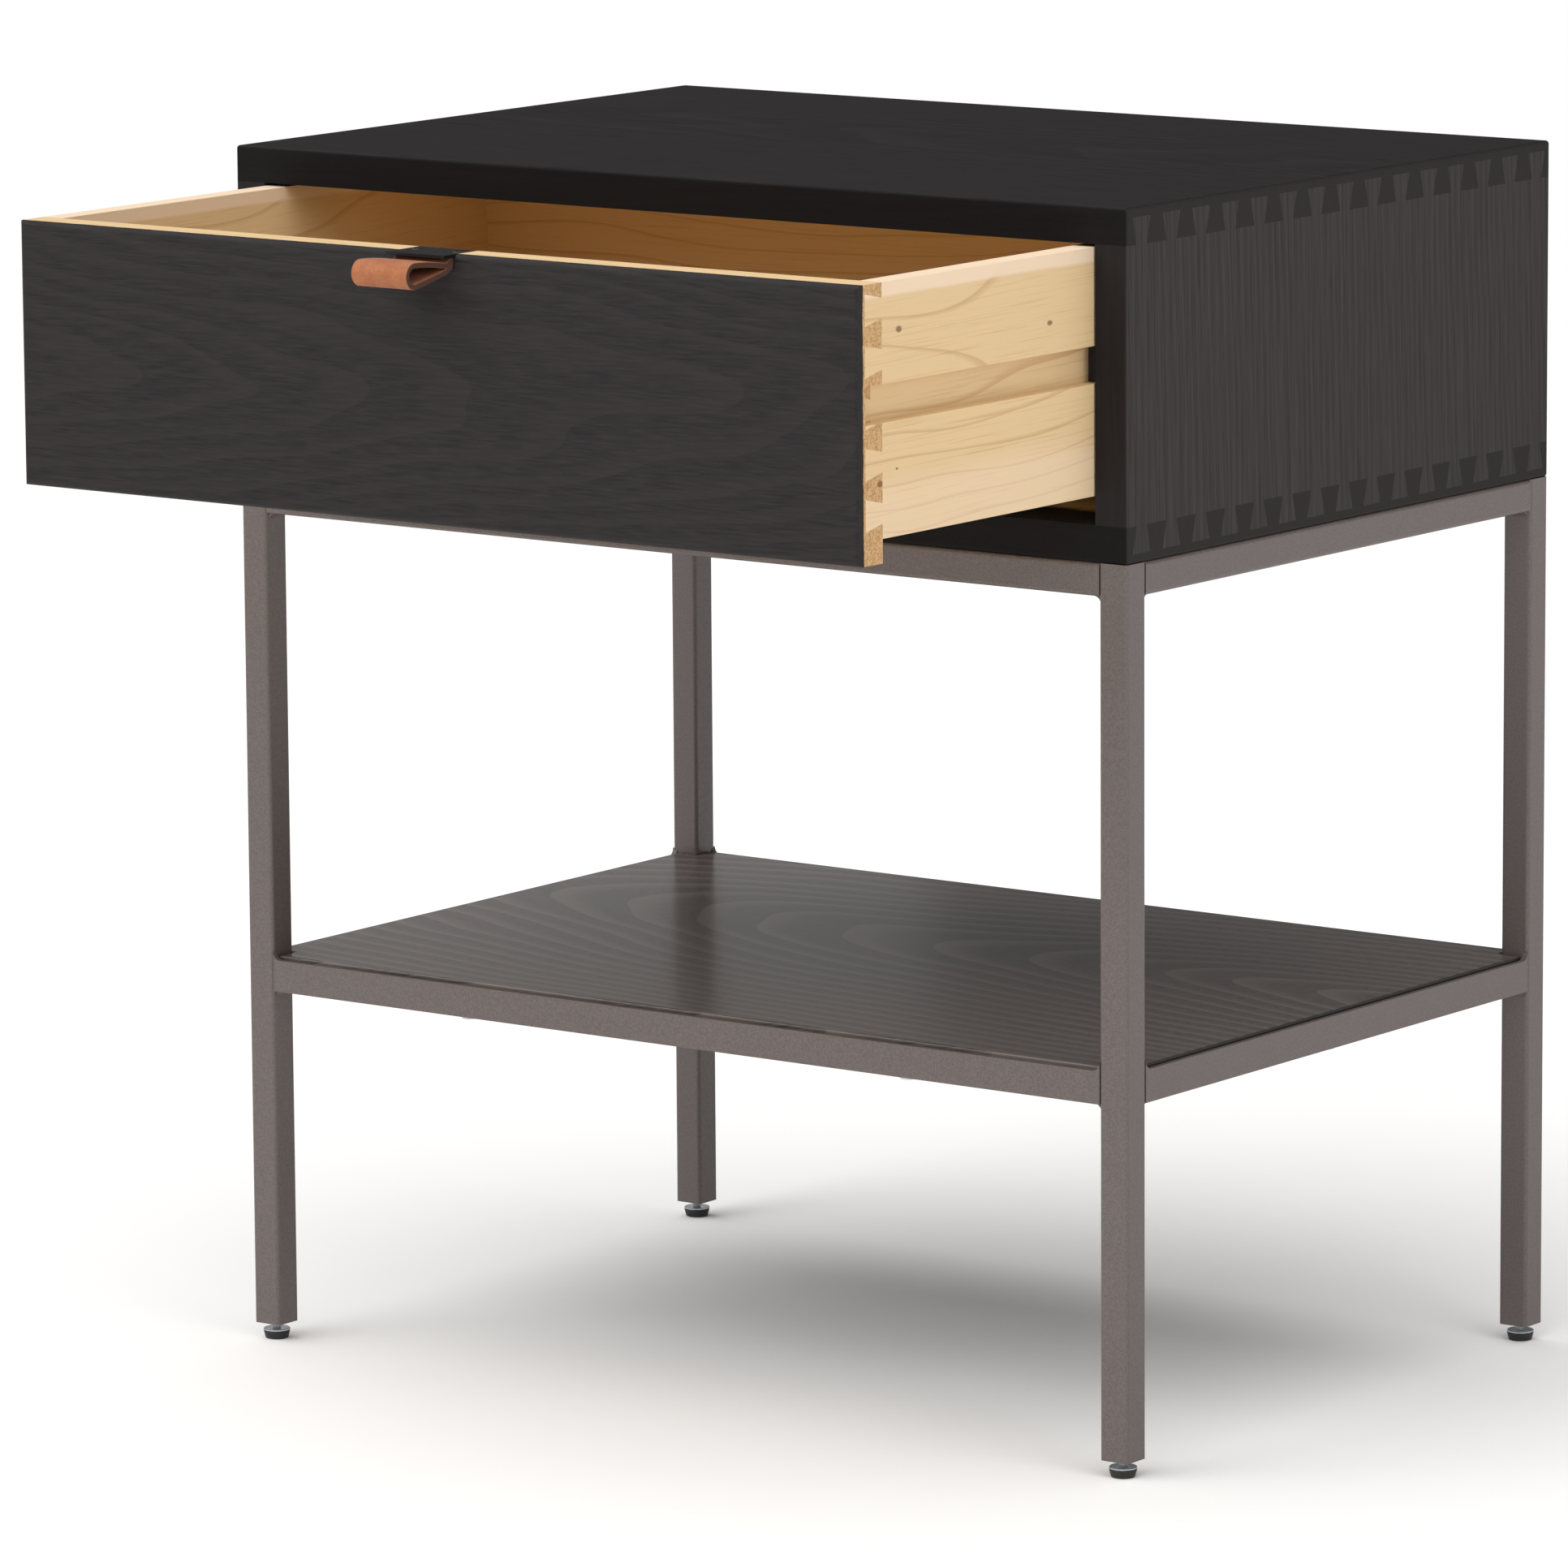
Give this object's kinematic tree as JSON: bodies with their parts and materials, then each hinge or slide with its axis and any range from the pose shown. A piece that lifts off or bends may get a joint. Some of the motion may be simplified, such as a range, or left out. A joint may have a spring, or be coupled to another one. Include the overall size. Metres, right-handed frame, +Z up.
{
  "type": "side table with drawer",
  "caption": "Side table: dovetailed wooden case with one drawer and a leather strap pull, on a square-tube frame with a lower shelf and levelling feet.",
  "frame": {"origin": "on the floor, at the middle of the table's width and halfway between the pull's tip and the back of the case, with the drawer open as it stands at rest", "axes": "+Z up, +X to the right as one faces the drawer, +Y from the drawer to the back"},
  "size_m": [0.572, 0.632, 0.648],
  "materials": {
    "black_washed_wood": "black wash over open grain, satin",
    "natural_poplar": "clear satin over pale poplar",
    "plywood": "sanded",
    "gunmetal_steel": "satin powder coat",
    "zinc_steel": "bright zinc plate",
    "black_steel": "black oxide",
    "black_pad": "moulded black plastic",
    "tan_leather": "nubuck"
  },
  "bodies": {
    "table": {"case_top": "black_washed_wood", "case_bottom": "black_washed_wood", "case_side_left": "black_washed_wood", "case_side_right": "black_washed_wood", "case_back": "black_washed_wood", "runner_left": "black_washed_wood", "runner_right": "black_washed_wood", "runner_screws": "zinc_steel", "leg_front_left": "gunmetal_steel", "leg_front_right": "gunmetal_steel", "leg_back_left": "gunmetal_steel", "leg_back_right": "gunmetal_steel", "foot_inserts": "zinc_steel", "top_rail_front": "gunmetal_steel", "top_rail_back": "gunmetal_steel", "top_rail_left": "gunmetal_steel", "top_rail_right": "gunmetal_steel", "case_screws": "zinc_steel", "shelf_angle_front": "gunmetal_steel", "shelf_angle_back": "gunmetal_steel", "shelf_angle_left": "gunmetal_steel", "shelf_angle_right": "gunmetal_steel", "shelf_screws": "zinc_steel", "shelf_board": "black_washed_wood", "weld_beads": "gunmetal_steel"},
    "drawer": {"drawer_front": "natural_poplar", "drawer_side_left": "natural_poplar", "drawer_side_right": "natural_poplar", "drawer_back": "natural_poplar", "drawer_bottom": "plywood", "drawer_bottom_screws": "zinc_steel", "pull_strap": "tan_leather", "pull_plate": "black_steel", "pull_screws": "black_steel"},
    "foot_front_left": {"foot_screw_front_left": "zinc_steel", "foot_pad_front_left": "black_pad"},
    "foot_front_right": {"foot_screw_front_right": "zinc_steel", "foot_pad_front_right": "black_pad"},
    "foot_back_left": {"foot_screw_back_left": "zinc_steel", "foot_pad_back_left": "black_pad"},
    "foot_back_right": {"foot_screw_back_right": "zinc_steel", "foot_pad_back_right": "black_pad"}
  },
  "joints": [
    {"name": "drawer_slide", "type": "slide", "parent": "table", "child": "drawer", "axis": [0, -1, 0], "range_m": [-0.199, 0.08]},
    {"name": "foot_front_left_screw", "type": "slide", "parent": "table", "child": "foot_front_left", "axis": [0, 0, -1], "range_m": [-0.003, 0.01]},
    {"name": "foot_front_right_screw", "type": "slide", "parent": "table", "child": "foot_front_right", "axis": [0, 0, -1], "range_m": [-0.003, 0.01]},
    {"name": "foot_back_left_screw", "type": "slide", "parent": "table", "child": "foot_back_left", "axis": [0, 0, -1], "range_m": [-0.003, 0.01]},
    {"name": "foot_back_right_screw", "type": "slide", "parent": "table", "child": "foot_back_right", "axis": [0, 0, -1], "range_m": [-0.003, 0.01]}
  ]
}
